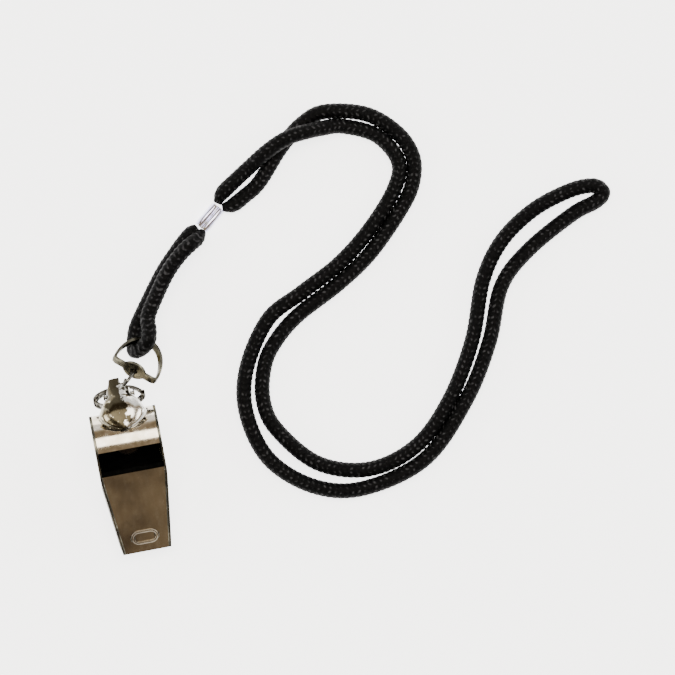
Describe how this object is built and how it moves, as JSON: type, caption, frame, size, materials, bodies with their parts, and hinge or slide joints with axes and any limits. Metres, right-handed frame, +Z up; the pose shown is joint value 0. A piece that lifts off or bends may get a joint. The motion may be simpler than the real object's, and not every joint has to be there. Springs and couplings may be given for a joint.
{
  "type": "training whistle",
  "caption": "Metal pea whistle on a spring clip with a swivel eye and a looped black neck lanyard, lying on a table.",
  "frame": {"origin": "on the table under the middle of the whistle, clip and swivel eye, without the cords", "axes": "+X across the whistle, +Y from the mouthpiece towards the barrel and the clip, +Z up from the table"},
  "size_m": [0.1806, 0.1319, 0.0211],
  "materials": {
    "nickel_plate": "bright nickel plate",
    "dark_nickel": "dull plate inside the windway",
    "cork": "natural cork",
    "steel_wire": "bright drawn wire",
    "jaw_nickel": "pressed nickel plate",
    "eye_steel": "tumbled plated strip",
    "ferrule_chrome": "bright pressed sleeve",
    "black_cord": "matt braided polyester"
  },
  "bodies": {
    "whistle": {"left_cheek": "nickel_plate", "right_cheek": "nickel_plate", "barrel_band": "nickel_plate", "top_plate": "nickel_plate", "windway_floor": "dark_nickel", "bail_loop": "steel_wire"},
    "pea": {"cork_pea": "cork"},
    "ring": {"split_ring": "steel_wire"},
    "clip": {"rear_jaw": "jaw_nickel", "jaw_pin": "steel_wire", "jaw_spring": "steel_wire"},
    "jaw": {"front_jaw": "jaw_nickel"},
    "stem": {"swivel_stem": "steel_wire"},
    "eye": {"swivel_eye": "eye_steel"},
    "lanyard": {"clip_cord_loop": "black_cord", "crimp_ferrule": "ferrule_chrome", "neck_cord": "black_cord"}
  },
  "joints": [
    {"name": "pea_orbit", "type": "hinge", "parent": "whistle", "child": "pea", "pos_m": [-0.0028, 0.0015, 0.01], "axis": [1, 0, 0], "continuous": true},
    {"name": "ring_swing", "type": "hinge", "parent": "whistle", "child": "ring", "pos_m": [-0.0028, 0.01297, 0.01569], "axis": [1, 0, 0], "range_deg": [0, 11]},
    {"name": "clip_tilt", "type": "hinge", "parent": "whistle", "child": "clip", "pos_m": [-0.0028, 0.01297, 0.01569], "axis": [1, 0, 0], "range_deg": [-8, 0]},
    {"name": "jaw_open", "type": "hinge", "parent": "clip", "child": "jaw", "pos_m": [-0.0028, 0.0166, 0.014], "axis": [1, 0, 0], "range_deg": [-15, 0], "stiffness_Nm_per_rad": 0.02, "springref_deg": 17.19},
    {"name": "stem_swing", "type": "hinge", "parent": "clip", "child": "stem", "pos_m": [-0.0012, 0.01894, 0.01005], "axis": [0, 0.5, 0.866], "range_deg": [-5, 5]},
    {"name": "eye_spin", "type": "hinge", "parent": "stem", "child": "eye", "pos_m": [0.0035, 0.0236, 0.0125], "axis": [0.5278, 0.6348, -0.5643], "continuous": true},
    {"name": "cord_swing", "type": "hinge", "parent": "eye", "child": "lanyard", "pos_m": [0.01005, 0.03147, 0.0055], "axis": [0.769, -0.6392, 0], "range_deg": [0, 30]}
  ]
}
